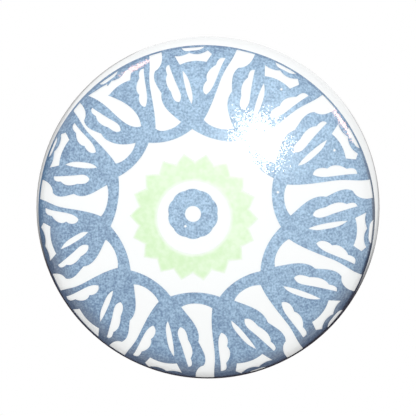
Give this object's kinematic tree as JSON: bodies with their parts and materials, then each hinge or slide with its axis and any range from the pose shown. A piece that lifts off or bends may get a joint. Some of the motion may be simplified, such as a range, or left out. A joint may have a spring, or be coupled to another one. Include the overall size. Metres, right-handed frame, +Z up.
{
  "type": "cabinet knob",
  "caption": "Round glazed ceramic knob with a domed face that carries a fired rosette print, a waisted neck and a foot with a threaded insert for the screw that fixes it to a door or drawer.",
  "frame": {"origin": "middle of the foot's flat back, on the knob's axis, where it meets the door", "axes": "-Y out of the door through the knob's face, +Y into the door along the screw, +Z up as mounted, +X to the right as seen from in front"},
  "size_m": [0.04, 0.028, 0.04],
  "materials": {
    "white_glaze": "smooth gloss glaze",
    "insert_brass": "turned",
    "blue_enamel": "fired print, grainy",
    "green_enamel": "fired print, pale wash"
  },
  "bodies": {
    "root": {"knob_head": "white_glaze", "threaded_insert": "insert_brass", "leaf_ring_print": "blue_enamel", "sun_ring_print": "green_enamel", "centre_ring_print": "blue_enamel"}
  },
  "joints": []
}
